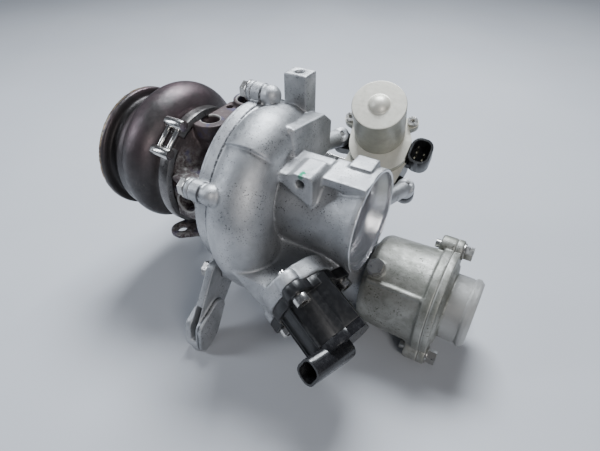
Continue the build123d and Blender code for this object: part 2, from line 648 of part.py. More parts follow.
# ---- support leg -------------------------------------------------------------------------------
def support_leg():
    y, z = polar(LEG_BOLT_R, LEG_BOLT_DEG)
    x0 = COVER_REAR_X
    outline = wrap((y - 3, z + 6, 5), (-40, -50, 4.5), (-60, -70, 5), (-67, -63, 5.5))
    body = Pos(x0, 0, 0) * extrude(Plane.YZ * outline, LEG_FRONT_X - x0)
    fork = wrap((-55, -58, 6), (-67.5, -64, 6.5), (-63, -71, 6), LEG_FOOT + (6,))
    body += Pos(x0 - 3.5, 0, 0) * extrude(Plane.YZ * fork, 12)
    slot = wrap((-70, -50, 4), (-61, -62, 4), (-73, -70, 4))
    body -= Pos(x0 + 0.6, 0, 0) * extrude(Plane.YZ * slot, 3.8)
    body += Pos(x0 + 2.5, LEG_FOOT[0], 0) * extrude(Pos(0, 0, LEG_FOOT_Z) * Circle(5.5), 9)
    return body - rod_x(COVER_R + 0.2, -90, -60) - rod_x(BOLT_R, x0 - 1, LEG_FRONT_X - 0.5, y, z)


# ---- diverter valve ----------------------------------------------------------------------------


def side_panel():
    return Pos(*DV_PANEL_AT) * Rectangle(*DV_PANEL_SIZE)


def diverter_body():
    flange = wrap((0, 0, 19.5)) + [wrap((x * 0.55, y * 0.55, 9), (x, y, 6)) for x, y in map(dv_ear, DV_EARS)]
    body = slab(DV, flange, 0, DV_FLANGE_T) + post(DV, DV_BODY_R, 0, DV_COVER_Z)
    body += slab(DV, side_panel(), 2, DV_COVER_Z)
    for degrees in (28, 62, 84, 150, 180, 210):
        body += DV * Rot(0, 0, degrees) * Pos(DV_BODY_R, 0, DV_COVER_Z / 2) * Box(2.4, 1.3, DV_COVER_Z)
    body -= post(DV, PISTON_R + 0.15, -1, 14.5) + post(DV, 14.6, 14.5, DV_COVER_Z + 1)
    body -= post(DV, 18.4, -1, 1.4) - post(DV, 16.0, -2, 2)
    body -= [post(DV, 4.6, DV_FLANGE_T, DV_COVER_Z + 1, dv_ear(a)) for a in DV_EARS]
    return body - [post(DV, 2.2, -1, DV_FLANGE_T + 1, dv_ear(a)) for a in DV_EARS]


def plug_place(z=0.0):
    """Local z runs out of the socket, local x down the valve."""
    return DV * Rot(0, 0, DV_PLUG_DEG) * Pos(0, 0, DV_PLUG_Z) * Rot(0, 90, 0) * Pos(0, 0, z)


def diverter_cover():
    body = post(DV, DV_BODY_R, DV_COVER_Z, DV_LENGTH) + post(DV, 14.5, DV_COVER_Z - 2, DV_COVER_Z)
    body += slab(DV, side_panel(), DV_COVER_Z, DV_LENGTH)
    body += slab(plug_place(), RectangleRounded(12, 15, 5), 0, DV_PLUG_REACH)
    return body - slab(plug_place(), RectangleRounded(9.4, 12.4, 3.7), 11, DV_PLUG_REACH + 1)


def diverter_pins():
    pins = [slab(plug_place(), Pos(0, y) * Rectangle(0.8, 1.6), 11, 17) for y in (-3, 3)]
    return Compound(children=pins)


def diverter_coil():
    return post(DV, 14.3, 15, DV_COVER_Z - 2.2) - post(DV, 4.4, 14, DV_LENGTH)


def diverter_piston():
    cup = post(DV, PISTON_R, PISTON_FOOT_Z, 5.5) - post(DV, PISTON_R - 2, PISTON_FOOT_Z + 2.5, 6)
    return cup + post(DV, 3.6, PISTON_FOOT_Z + 1, 18)


def diverter_spring():
    """Six turns of wire between the piston's floor and the coil."""
    wire_r, foot, top = 0.6, PISTON_FOOT_Z + 2.5, 15.0
    height = top - foot - 2 * wire_r - 0.4
    path = Helix(pitch=height / 6, height=height, radius=7.0)
    section = Plane(origin=path @ 0, z_dir=path % 0) * Circle(wire_r)
    return DV * Pos(0, 0, foot + wire_r + 0.2) * sweep(section, path, is_frenet=True)


def diverter_seal():
    return DV * Pos(0, 0, 0.7) * Torus(17.2, 0.7)


def diverter_screws():
    screws = []
    for angle in DV_EARS:
        at = dv_ear(angle)
        screw = post(DV, 4.2, DV_FLANGE_T, DV_FLANGE_T + 5, at) + post(DV, 2.05, -9, DV_FLANGE_T, at)
        screws.append(screw - hexagon(DV, 4, DV_FLANGE_T + 2.2, DV_FLANGE_T + 6, at))
    return Compound(children=screws)


# ---- pulsation damper --------------------------------------------------------------------------
def damper_lugs(x0, x1):
    return [rod_x(6.3, x0, x1, *damper_point(DAMPER_BOLT_R, a)) for a in DAMPER_BOLT_ANGLES]


def damper_bolt_holes(radius, x0, x1):
    return [rod_x(radius, x0, x1, *damper_point(DAMPER_BOLT_R, a)) for a in DAMPER_BOLT_ANGLES]


def damper_body():
    shell = turned([(DAMPER_REAR_X, 0), (DAMPER_REAR_X, 26), (5, 28.2), (DAMPER_FLANGE_X, DAMPER_R + 0.3),
                    (DAMPER_FLANGE_X, 31.5), (DAMPER_JOINT_X, 31.5), (DAMPER_JOINT_X, 0)], DAMPER_Y, DAMPER_Z)
    shell += damper_lugs(DAMPER_FLANGE_X - 4, DAMPER_JOINT_X)
    for degrees in DAMPER_RIB_DEGS:
        y, z = damper_point(DAMPER_R - 0.6, degrees)
        shell += Pos(21, y, z) * Rot(degrees, 0, 0) * Box(34, 4, 2.2)
    boss_y, boss_z = damper_point(DAMPER_R - 4, PLUG_DEG)
    radial = frame_at((8, boss_y, boss_z), (0, *polar(1, PLUG_DEG)))
    shell += post(radial, 5, 0, 5)
    joint = DAMPER_JOINT_X + 1
    shell -= turned([(5.5, 0), (5.5, 25.2), (joint, 26), (joint, 0)], DAMPER_Y, DAMPER_Z)
    shell -= rod_x(OUTLET_PIPE_BORE_R, 0, 7, DAMPER_Y, DAMPER_Z)
    for angle in MOUNT_BOLT_ANGLES:
        y, z = damper_point(MOUNT_BOLT_R, angle)
        shell += rod_x(4.5, 2, 10, y, z) - rod_x(2.6, 0, 9, y, z)
        shell -= rod_x(2.6, 0, 9, y, z)
    shell -= post(radial, 2.6, -8, 6)
    return shell - damper_bolt_holes(2.6, 30, 50)


def damper_plug():
    boss_y, boss_z = damper_point(DAMPER_R + 1, PLUG_DEG)
    radial = frame_at((8, boss_y, boss_z), (0, *polar(1, PLUG_DEG)))
    return hexagon(radial, 8.5, 0, 4.5) + post(radial, 5.2, 0, 1) + post(radial, 2.55, -8, 0)


def damper_cover():
    cover = turned([(DAMPER_JOINT_X, 0), (DAMPER_JOINT_X, 31.5), (DAMPER_FRONT_X, 31.5),
                    (DAMPER_FRONT_X, 26), (DAMPER_FRONT_X + 1.5, 24), (DAMPER_FRONT_X + 2, STUB_R), (58.5, STUB_R), (59.2, STUB_R - 0.5), (60, STUB_R + 0.9),
                    (62.3, STUB_R + 0.9), (STUB_END_X, STUB_R - 1), (STUB_END_X, 0)], DAMPER_Y, DAMPER_Z)
    cover += damper_lugs(DAMPER_JOINT_X, DAMPER_FRONT_X)
    cover -= rod_x(OUTLET_PIPE_BORE_R, 40, 65, DAMPER_Y, DAMPER_Z)
    cover -= ring_x(29.0, 27.4, DAMPER_JOINT_X - 1, DAMPER_JOINT_X + 1.2, DAMPER_Y, DAMPER_Z)
    return cover - damper_bolt_holes(3.0, 40, 50)


def damper_oring():
    section = Plane.XZ * (Pos(DAMPER_JOINT_X + 0.6, 28.2) * Circle(0.6))
    return Pos(0, DAMPER_Y, DAMPER_Z) * revolve(section, Axis.X)


def damper_insert():
    """The sleeve with rows of ports that tunes the chamber."""
    sleeve = ring_x(18.5, 17.2, 5.6, DAMPER_JOINT_X - 0.1, DAMPER_Y, DAMPER_Z)
    for x in (14, 24, 34):
        for i in range(3):
            bar = Pos(x, DAMPER_Y, DAMPER_Z) * Rot(60 * i + 20, 0, 0) * Cylinder(2.5, 44)
            sleeve -= bar
    return sleeve


def damper_bolts():
    bolts = []
    for angle in DAMPER_BOLT_ANGLES:
        y, z = damper_point(DAMPER_BOLT_R, angle)
        place = frame_at((DAMPER_FRONT_X, y, z), (1, 0, 0))
        head = post(place, 5.2, 0, 1.2) + hexagon(place, 7.6, 1.2, 6)
        bolts.append(head + rod_x(2.55, 31, DAMPER_FRONT_X, y, z))
    return Compound(children=bolts)


def damper_mount_bolts():
    bolts = []
    for angle in MOUNT_BOLT_ANGLES:
        y, z = damper_point(MOUNT_BOLT_R, angle)
        place = frame_at((-5, y, z), (-1, 0, 0))
        bolts.append(hexagon(place, 7.6, 0, 4) + rod_x(2.55, -5, 8.5, y, z))
    return Compound(children=bolts)


def damper_gasket():
    return ring_x(OUTLET_PIPE_R, OUTLET_PIPE_BORE_R, DAMPER_REAR_X - 0.5, DAMPER_REAR_X, DAMPER_Y, DAMPER_Z)


# ---- actuator ----------------------------------------------------------------------------------
def gear(module, teeth, z0, z1, at, bore, turn=0.0):
    """A spur gear with straight-flanked teeth."""
    pitch_r = module * teeth / 2
    root, tip = pitch_r - 1.0 * module, pitch_r + 0.6 * module
    step = 360.0 / teeth
    arc = math.radians(step)
    flank = [(root - 0.3, 0.27 * arc * root), (pitch_r, 0.2 * arc * pitch_r), (tip, 0.1 * arc * tip)]
    tooth = Polyline(*[(r, -half) for r, half in flank], *reversed(flank), close=True)
    outline = Circle(root) + [Rot(0, 0, turn + step * i) * make_face(tooth) for i in range(teeth)]
    if bore:
        outline -= Circle(bore)
    return slab(ACT * Pos(*at, 0), outline, z0, z1)


def idler_place():
    """Where the idler meshes with both the pinion and the output gear, on the connector's side."""
    near = MODULE_1 * (PINION_TEETH + IDLER_TEETH) / 2
    far = MODULE_2 * (IDLER_SMALL_TEETH + OUTPUT_TEETH) / 2
    ox, oy = OUTPUT_AT
    span = math.hypot(ox, oy)
    along = (near**2 - far**2 + span**2) / (2 * span)
    aside = math.sqrt(near**2 - along**2)
    return (along * ox - aside * oy) / span, (along * oy + aside * ox) / span


IDLER_AT = idler_place()


def heading(start, end):
    return math.degrees(math.atan2(end[1] - start[1], end[0] - start[0]))


def motor_rotor():
    toward = heading((0, 0), IDLER_AT)
    pinion = gear(MODULE_1, PINION_TEETH, -22.5, -18, (0, 0), 0, toward)
    shaft = post(ACT, 1.5, -23.5, 34) + post(ACT, 4.5, 1, 5)
    armature = Circle(11.5) - [Rot(0, 0, 72 * i) * (Pos(10, 0) * Rectangle(4, 1.6)) for i in range(5)]
    return pinion + shaft + slab(ACT, armature, 7, 25)


def idler_gear():
    toward_motor = heading(IDLER_AT, (0, 0)) + 180.0 / IDLER_TEETH
    large = gear(MODULE_1, IDLER_TEETH, -22.5, -18.5, IDLER_AT, IDLER_PIN_R + RUNNING, toward_motor)
    toward_output = heading(IDLER_AT, OUTPUT_AT)
    bore = IDLER_PIN_R + RUNNING
    return large + gear(MODULE_2, IDLER_SMALL_TEETH, -18.5, -10, IDLER_AT, bore, toward_output)


def idler_pin():
    return post(ACT, IDLER_PIN_R, -CASE_DEPTH + 2, -3, IDLER_AT)


def output_gear():
    toward_idler = heading(OUTPUT_AT, IDLER_AT) + 180.0 / OUTPUT_TEETH
    wheel = gear(MODULE_2, OUTPUT_TEETH, -16.5, -10.5, OUTPUT_AT, 0, toward_idler)
    shaft = post(ACT, OUTPUT_SHAFT_R, LEVER_Z + LEVER_T, -7.5, OUTPUT_AT)
    return wheel + shaft + post(ACT, 6, -21, -16.5, OUTPUT_AT)


def output_bush():
    bore = post(ACT, OUTPUT_SHAFT_R + RUNNING, -40, 0, OUTPUT_AT)
    return post(ACT, 6, -CASE_DEPTH - 0.5, -21.5, OUTPUT_AT) - bore


def case_outline(grow):
    return wrap((0, 0, 11 + grow), (*IDLER_AT, 11.6 + grow), (*OUTPUT_AT, 16.4 + grow))


def plate_outline(grow):
    """The plate under the motor can, with its two screw ears."""
    outline = wrap(*[(x, y, r + grow) for x, y, r in PLATE_DISCS])
    return outline + [wrap((ex * 0.6, ey * 0.6, 5 + grow), (ex, ey, 4 + grow)) for ex, ey in EARS_AT]


def actuator_housing():
    body = slab(ACT, plate_outline(0), -PLATE_T, 0) + slab(ACT, case_outline(CASE_WALL), CASE_TOP, -PLATE_T)
    body -= slab(ACT, connector_gap(), -10, 5)
    body -= post(ACT, 2.2, -10, 5) + post(ACT, 11.9, -1.5, 5)
    return body - post(ACT, IDLER_PIN_R, -10, -3, IDLER_AT) - [post(ACT, 1.5, -30, 5, at) for at in EARS_AT]


def connector_gap():
    x, y = CONNECTOR_AT
    return Pos(x, y) * Rectangle(CONNECTOR_SIZE[0] + 0.6, CONNECTOR_SIZE[1] + 0.6)


def actuator_cover():
    body = slab(ACT, case_outline(CASE_WALL), -CASE_DEPTH, CASE_TOP)
    x, y = CONNECTOR_AT
    body += slab(ACT, Pos(x, y) * RectangleRounded(*CONNECTOR_SIZE, 6), -15, -1)
    body += slab(ACT, Pos(x / 2 + 2, y - 2) * Rectangle(x, 12), -15, -9)
    lugs = [wrap((x * 0.5, y * 0.8, 6), (x, y, 6)) for x, y in LUGS_AT]
    body += [slab(ACT, lug, LUG_FOOT_Z, LUG_FACE_Z) for lug in lugs]
    body -= slab(ACT, case_outline(0), -CASE_DEPTH + 2, CASE_TOP + 1)
    body -= slab(ACT, Pos(x, y) * RectangleRounded(CONNECTOR_SIZE[0] - 3, CONNECTOR_SIZE[1] - 3, 4.5), -12, 0)
    return body - post(ACT, 6, -30, 0, OUTPUT_AT) - [post(ACT, 2.7, -30, 0, at) for at in LUGS_AT]


def actuator_pins():
    x, y = CONNECTOR_AT
    spots = [(x + dx, y + dy) for dx in (-2.5, 2.5) for dy in (-4, 0, 4)][:5]
    return Compound(children=[slab(ACT, Pos(*at) * Rectangle(0.8, 1.2), -12, -5) for at in spots])


def motor_can():
    body = post(ACT, CAN_R, 0, CAN_LENGTH) - post(ACT, CAN_R - 1.2, -1, CAN_LENGTH - 1.2)
    dome = ACT * Pos(0, 0, CAN_LENGTH - 5.2) * Sphere(8.4)
    dome &= slab(ACT, Circle(10), CAN_LENGTH - 0.5, CAN_LENGTH + 6)
    return body + dome + post(ACT, 3.4, CAN_LENGTH - 3.5, CAN_LENGTH) - post(ACT, 1.55, 20, CAN_LENGTH + 1.5)


def motor_magnets():
    ring = post(ACT, CAN_R - 1.25, 6, 27) - post(ACT, 12.2, 5, 28)
    return ring - slab(ACT, Rectangle(40, 5), 5, 28)


def actuator_screws():
    screws = [post(ACT, 3.3, 0, 2.6, at) + post(ACT, 1.45, -6.5, 0, at) for at in EARS_AT]
    screws = [s - hexagon(ACT, 2.6, 1.2, 3, at) for s, at in zip(screws, EARS_AT)]
    return Compound(children=screws)


def actuator_bolts():
    heads = [hexagon(ACT, 8.5, LUG_FOOT_Z - 4, LUG_FOOT_Z, at) for at in LUGS_AT]
    bolts = [head + post(ACT, 2.45, LUG_FOOT_Z, LUG_TOP_Z - 0.5, at) for head, at in zip(heads, LUGS_AT)]
    return Compound(children=bolts)


# ---- linkage and wastegate ---------------------------------------------------------------------
def lever_tip(pivot):
    angle = math.radians(LEVER_REST_DEG)
    return pivot[0] + LEVER_LENGTH * math.cos(angle), pivot[1] + LEVER_LENGTH * math.sin(angle)


def lever(pivot, hub_r, hub_top):
    """A flat lever with a hub on its shaft and a pin at its tip."""
    tip = lever_tip(pivot)
    body = slab(ACT, wrap((*pivot, hub_r), (*tip, 4.2)), LEVER_Z, LEVER_Z + LEVER_T)
    return body + post(ACT, PIN_R, LEVER_Z - 5.6, LEVER_Z, tip) + post(ACT, hub_r, LEVER_Z, hub_top, pivot)


def actuator_lever():
    return lever(OUTPUT_AT, 7.0, LEVER_Z + LEVER_T)


def wastegate_lever():
    return lever(VALVE_SPINDLE_AT, 6.5, -27.2) - post(ACT, SPINDLE_R, -40, 0, VALVE_SPINDLE_AT)


def link_rod():
    z0 = LEVER_Z - 0.4 - ROD_T
    a, b = lever_tip(VALVE_SPINDLE_AT), lever_tip(OUTPUT_AT)
    bar = wrap((a[0] + 2, a[1], 2.2), (b[0] - 2, b[1], 2.2)) + Pos(*a) * Circle(5) + Pos(*b) * Circle(5)
    return slab(ACT, bar, z0, z0 + ROD_T) - [post(ACT, PIN_R + RUNNING, -50, 0, at) for at in (a, b)]


def link_clips():
    z0 = LEVER_Z - 0.4 - ROD_T - 0.2
    spots = [lever_tip(VALVE_SPINDLE_AT), lever_tip(OUTPUT_AT)]
    rings = [post(ACT, 4, z0 - 0.9, z0, at) - post(ACT, PIN_R + RUNNING, -50, 0, at) for at in spots]
    return Compound(children=rings)


def wastegate_arm(margin=0.0):
    x, y = VALVE_SPINDLE_AT
    outline = wrap((x, y, 4.6 + margin), (x - 3.4, y - FLAP_DROP, 2.8 + margin))
    return slab(ACT, outline, 2 - margin, 10 + margin)


def arm_sweep():
    """The room the wastegate arm needs through its travel."""
    pivot = ACT * Pos(*VALVE_SPINDLE_AT, 0)
    still = pivot.inverse() * wastegate_arm(0.5)
    return [pivot * Rot(0, 0, -degrees) * still for degrees in range(0, WASTEGATE_TRAVEL + 1, 5)]


def wastegate_spindle():
    x, y = VALVE_SPINDLE_AT
    body = post(ACT, SPINDLE_R, LEVER_Z, 13.5, (x, y)) + wastegate_arm() - rod_x(2.2, -170, CHAMBER_X, *flap_centre())
    return body - rod_x(FLAP_R + 0.1, CHAMBER_X - FLAP_T - 0.05, CHAMBER_X + 2, *flap_centre())


def wastegate_flap():
    at = flap_centre()
    stem = rod_x(2.2, CHAMBER_X - 9.5, CHAMBER_X - FLAP_T, *at)
    return rod_x(FLAP_R, CHAMBER_X - FLAP_T, CHAMBER_X, *at) + stem


def wastegate_bush():
    bore = post(ACT, SPINDLE_R + RUNNING, -40, 0, VALVE_SPINDLE_AT)
    return post(ACT, 5.0, -26.8, -9, VALVE_SPINDLE_AT) - bore


# ---- all nodes ---------------------------------------------------------------------------------
NODES = {
    "compressor_housing": compressor_housing,
    "backplate": backplate,
    "backplate_oring": backplate_oring,
    "backplate_bolts": backplate_bolts,
    "support_leg": support_leg,
    "centre_housing": centre_housing,
    "turbine_bearing": lambda: journal_bearing(-116, -109),
    "bearing_spacer": lambda: ring_x(6.6, 4.6, -108.8, -100.2),
    "compressor_bearing": lambda: journal_bearing(-100, -94.5),
    "thrust_bearing": thrust_bearing,
    "seal_insert": seal_insert,
    "compressor_seal_ring": lambda: ring_x(6.35, 5.0, -84, -82.8),
    "turbine_seal_ring": turbine_seal_ring,
    "heat_shield": heat_shield,
    "turbine_rotor": turbine_rotor,
    "thrust_collar": thrust_collar,
    "oil_flinger": oil_flinger,
    "compressor_wheel": compressor_wheel,
    "shaft_nut": shaft_nut,
    "turbine_housing": turbine_housing,
    "vband_band": vband_band,
    "vband_trunnions": vband_trunnions,
    "vband_latch": vband_latch,
    "diverter_body": diverter_body,
    "diverter_cover": diverter_cover,
    "diverter_pins": diverter_pins,
    "diverter_coil": diverter_coil,
    "diverter_piston": diverter_piston,
    "diverter_spring": diverter_spring,
    "diverter_seal": diverter_seal,
    "diverter_screws": diverter_screws,
    "damper_body": damper_body,
    "damper_plug": damper_plug,
    "damper_cover": damper_cover,
    "damper_oring": damper_oring,
    "damper_insert": damper_insert,
    "damper_gasket": damper_gasket,
    "damper_bolts": damper_bolts,
    "damper_mount_bolts": damper_mount_bolts,
    "actuator_housing": actuator_housing,
    "actuator_cover": actuator_cover,
    "actuator_pins": actuator_pins,
    "actuator_screws": actuator_screws,
    "actuator_bolts": actuator_bolts,
    "motor_can": motor_can,
    "motor_magnets": motor_magnets,
    "motor_rotor": motor_rotor,
    "idler_gear": idler_gear,
    "idler_pin": idler_pin,
    "output_gear": output_gear,
    "output_bush": output_bush,
    "actuator_lever": actuator_lever,
    "link_rod": link_rod,
    "link_clips": link_clips,
    "wastegate_lever": wastegate_lever,
    "wastegate_spindle": wastegate_spindle,
    "wastegate_flap": wastegate_flap,
    "wastegate_bush": wastegate_bush,
}

if __name__ == "__main__":
    os.makedirs("parts", exist_ok=True)
    for node, make in NODES.items():
        save(node, make())
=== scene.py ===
import json
import math

import bpy
import numpy as np
from mathutils import Matrix, Vector


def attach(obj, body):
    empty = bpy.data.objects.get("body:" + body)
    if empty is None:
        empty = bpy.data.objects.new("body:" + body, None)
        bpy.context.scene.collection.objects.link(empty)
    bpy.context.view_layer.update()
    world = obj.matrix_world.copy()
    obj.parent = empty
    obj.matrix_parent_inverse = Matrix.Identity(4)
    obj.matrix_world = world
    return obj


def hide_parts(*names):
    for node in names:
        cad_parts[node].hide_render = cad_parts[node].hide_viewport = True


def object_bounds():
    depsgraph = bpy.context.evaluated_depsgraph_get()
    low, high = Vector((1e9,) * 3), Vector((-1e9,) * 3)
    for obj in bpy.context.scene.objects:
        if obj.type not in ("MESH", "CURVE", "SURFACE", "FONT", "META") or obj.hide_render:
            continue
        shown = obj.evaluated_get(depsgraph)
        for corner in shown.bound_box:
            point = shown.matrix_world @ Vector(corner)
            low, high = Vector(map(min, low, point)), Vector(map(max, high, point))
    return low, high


MM = 0.001

# Places on the part, in millimetres of its own frame, whose x runs along the shaft.
STEP_DEG = 126.0  # angle round the shaft of the front edge of the pad on the volute
STEP_RISE = 1.3
SEAM_X = (-73.7, -72.5)  # the joint between the volute and its rear ring
SEAM_R = 45.0
BORE_END_X = -50.0  # how deep the inlet is machined
BORE_MASK_R = 24.3
BELL_SLOPE = 0.39  # the machined bell lies inside a cone of this slope, with this radius at x = 0
BELL_MASK_R = 30.07
PAINT_X = (-33.4, -30.6)
PAINT_Y = (-24.5, -17.0)
PAINT_Z = 29.0
DAMPER_AXIS = (10.0, -49.5)
STUB_X = 49.5
STUB_R = 22.0
DAMPER_JOINT = (42.4, 43.8)
LIP_X = -167.2
LIP_R = 37.6
# the groove by the outlet flange, where the iron is darkened as painted shade
GROOVE_X = (-164.6, -158.0)
MOTOR_AXIS = (0.12, -0.56, 0.82)
# Each port of the centre housing: its x and its place across, the radii of its bright chamfer, the axis
# that its second place is on, and how far out its face lies
PORT_RIMS = (
    (-107.5, 0.0, 5.0, 6.3, "y", 34.0),
    (-100.0, 31.0, 8.0, 9.1, "y", 37.0),
    (-105.0, -5.0, 5.6, 6.8, "z", 33.0),
)

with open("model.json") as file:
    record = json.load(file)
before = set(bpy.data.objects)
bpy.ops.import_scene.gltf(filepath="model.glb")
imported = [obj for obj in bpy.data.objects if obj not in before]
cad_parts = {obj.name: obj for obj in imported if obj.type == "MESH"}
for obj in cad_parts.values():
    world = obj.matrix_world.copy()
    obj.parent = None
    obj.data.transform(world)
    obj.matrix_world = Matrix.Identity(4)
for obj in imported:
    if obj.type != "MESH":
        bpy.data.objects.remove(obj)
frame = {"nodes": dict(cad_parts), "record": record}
cad_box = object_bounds()
NODES = frame["nodes"]


# ---- mesh helpers ---------------------------------------------------------------------------------
def add_object(name, verts, faces, body):
    mesh = bpy.data.meshes.new(name)
    mesh.from_pydata([tuple(v) for v in verts], [], faces)
    mesh.validate()
    mesh.update()
    mesh.polygons.foreach_set("use_smooth", [True] * len(mesh.polygons))
    obj = bpy.data.objects.new(name, mesh)
    bpy.context.scene.collection.objects.link(obj)
    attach(obj, body)
    return obj


def laplacian(points, edges, passes, strength):
    """Moves each vertex towards the mean of its neighbours, by its own strength."""
    a, b = edges[:, 0], edges[:, 1]
    total = len(points)
    degree = np.bincount(np.concatenate((a, b)), minlength=total).clip(1)
    for _ in range(passes):
        mean = np.empty_like(points)
        for axis in range(3):
            weight = np.concatenate((points[b, axis], points[a, axis]))
            mean[:, axis] = np.bincount(np.concatenate((a, b)), weights=weight, minlength=total) / degree
        points = points + strength[:, None] * (mean - points)
    return points


def casting(node, voxel, passes, crisp=None, rise=None):
    """A cast body: the CAD solid remeshed and smoothed, so its edges and corners become fillets."""
    source = NODES[node]
    obj = bpy.data.objects.new(node + "_cast", source.data.copy())
    bpy.context.scene.collection.objects.link(obj)
    remesh = obj.modifiers.new("remesh", "REMESH")
    remesh.mode = "VOXEL"
    remesh.voxel_size = voxel * MM * 1.0
    remesh.use_smooth_shade = True
    bpy.context.view_layer.update()
    done = bpy.data.meshes.new_from_object(obj.evaluated_get(bpy.context.evaluated_depsgraph_get()))
    obj.modifiers.clear()
    obj.data = done
    points = np.empty(len(done.vertices) * 3)
    done.vertices.foreach_get("co", points)
    points = points.reshape(-1, 3)
    edges = np.empty(len(done.edges) * 2, dtype=np.int64)
    done.edges.foreach_get("vertices", edges)
    edges = edges.reshape(-1, 2)
    keep = crisp(points / MM) if crisp else np.zeros(len(points))
    points = laplacian(points, edges, 2, 0.4 - 0.15 * keep)
    points = laplacian(points, edges, passes, 0.5 * (1.0 - keep))
    if rise:
        normals = np.empty(len(done.vertices) * 3)
        done.vertices.foreach_get("normal", normals)
        points = points + normals.reshape(-1, 3) * (rise(points / MM) * MM)[:, None]
    done.vertices.foreach_set("co", points.ravel())
    done.update()
    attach(obj, "casing")
    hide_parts(node)
    return obj


def soften(node, width, segments=2):
    """Rounds the edges of a machined or moulded CAD piece."""
    obj = NODES[node]
    weld = obj.modifiers.new("weld", "WELD")
    weld.merge_threshold = 0.000002
    if node == "motor_can":
        merge_flat = obj.modifiers.new("merge_flat", "DECIMATE")
        merge_flat.decimate_type = "DISSOLVE"
        merge_flat.angle_limit = math.radians(1.0)
    bevel = obj.modifiers.new("bevel", "BEVEL")
    bevel.width = width * MM
    bevel.segments = segments
    bevel.limit_method = "ANGLE"
    bevel.angle_limit = math.radians(35)
    bevel.harden_normals = node != "motor_can"
    if node == "motor_can":
        level = obj.modifiers.new("level", "WEIGHTED_NORMAL")
        level.weight = 100
    return obj


# ---- materials ------------------------------------------------------------------------------------
class Surface:
    """A procedural material whose textures are laid out in millimetres of the part's own frame."""

    def __init__(self, name, metallic, roughness=0.5):
        self.mat = bpy.data.materials.new(name)
        self.mat.use_nodes = True
        self.tree = self.mat.node_tree
        self.tree.nodes.clear()
        out = self.add("ShaderNodeOutputMaterial")
        self.bsdf = self.add("ShaderNodeBsdfPrincipled")
        self.bsdf.inputs["Metallic"].default_value = metallic
        self.bsdf.inputs["Roughness"].default_value = roughness
        self.link(self.bsdf.outputs["BSDF"], out.inputs["Surface"])
        self.coord = self.add("ShaderNodeTexCoord")
        scale = self.add("ShaderNodeMapping")
        scale.inputs["Scale"].default_value = (1000.0, 1000.0, 1000.0)
        self.link(self.coord.outputs["Object"], scale.inputs["Vector"])
        self.mm = scale.outputs["Vector"]
        self.normal = None

    def add(self, kind, **values):
        node = self.tree.nodes.new(kind)
        for key, value in values.items():
            setattr(node, key, value)
        return node

    def link(self, a, b):
        self.tree.links.new(a, b)

    def noise(self, scale, detail=4.0, roughness=0.55, distortion=0.0):
        node = self.add("ShaderNodeTexNoise")
        node.inputs["Scale"].default_value = scale
        node.inputs["Detail"].default_value = detail
        node.inputs["Roughness"].default_value = roughness
        node.inputs["Distortion"].default_value = distortion
        self.link(self.mm, node.inputs["Vector"])
        return node.outputs["Fac"]

    def ramp(self, value, low, high, start=(0, 0, 0), end=(1, 1, 1)):
        node = self.add("ShaderNodeValToRGB")
        first, last = node.color_ramp.elements
        first.position, last.position = low, high
        first.color, last.color = (*start, 1), (*end, 1)
        self.link(value, node.inputs["Fac"])
        return node.outputs["Color"]

    def blend(self, mask, a, b, mode="MIX"):
        node = self.add("ShaderNodeMix", data_type="RGBA", blend_type=mode)
        self.put(mask, node.inputs[0])
        self.put(a, node.inputs[6])
        self.put(b, node.inputs[7])
        return node.outputs[2]

    def math(self, operation, a, b=0.0, clamp=False):
        node = self.add("ShaderNodeMath", operation=operation, use_clamp=clamp)
        self.put(a, node.inputs[0])
        self.put(b, node.inputs[1])
        return node.outputs[0]

    def put(self, value, socket):
        if isinstance(value, bpy.types.NodeSocket):
            self.link(value, socket)
        elif isinstance(value, tuple):
            socket.default_value = (*value, 1.0)
        else:
            socket.default_value = value

    def split(self):
        node = self.add("ShaderNodeSeparateXYZ")
        self.link(self.mm, node.inputs[0])
        return node.outputs

    def step(self, value, low, high):
        """0 below low, 1 above high."""
        node = self.add("ShaderNodeMapRange")
        node.inputs["From Min"].default_value = low
        node.inputs["From Max"].default_value = high
        self.link(value, node.inputs["Value"])
        return node.outputs["Result"]

    def span(self, value, low, high, edge=0.3):
        return self.math("MULTIPLY", self.step(value, low - edge, low + edge),
                         self.math("SUBTRACT", 1.0, self.step(value, high - edge, high + edge)))

    def radius(self):
        """Distance from the shaft axis."""
        x, y, z = self.split()
        square = self.math("ADD", self.math("MULTIPLY", y, y), self.math("MULTIPLY", z, z))
        return x, self.math("SQRT", square)

    def colour(self, value):
        self.link(value, self.bsdf.inputs["Base Color"])

    def rough(self, value):
        self.link(value, self.bsdf.inputs["Roughness"])

    def bump(self, height, distance, strength=1.0):
        node = self.add("ShaderNodeBump")
        node.inputs["Distance"].default_value = distance * MM
        node.inputs["Strength"].default_value = strength
        self.link(height, node.inputs["Height"])
        if self.normal:
            self.link(self.normal, node.inputs["Normal"])
        self.normal = node.outputs["Normal"]
        self.link(self.normal, self.bsdf.inputs["Normal"])


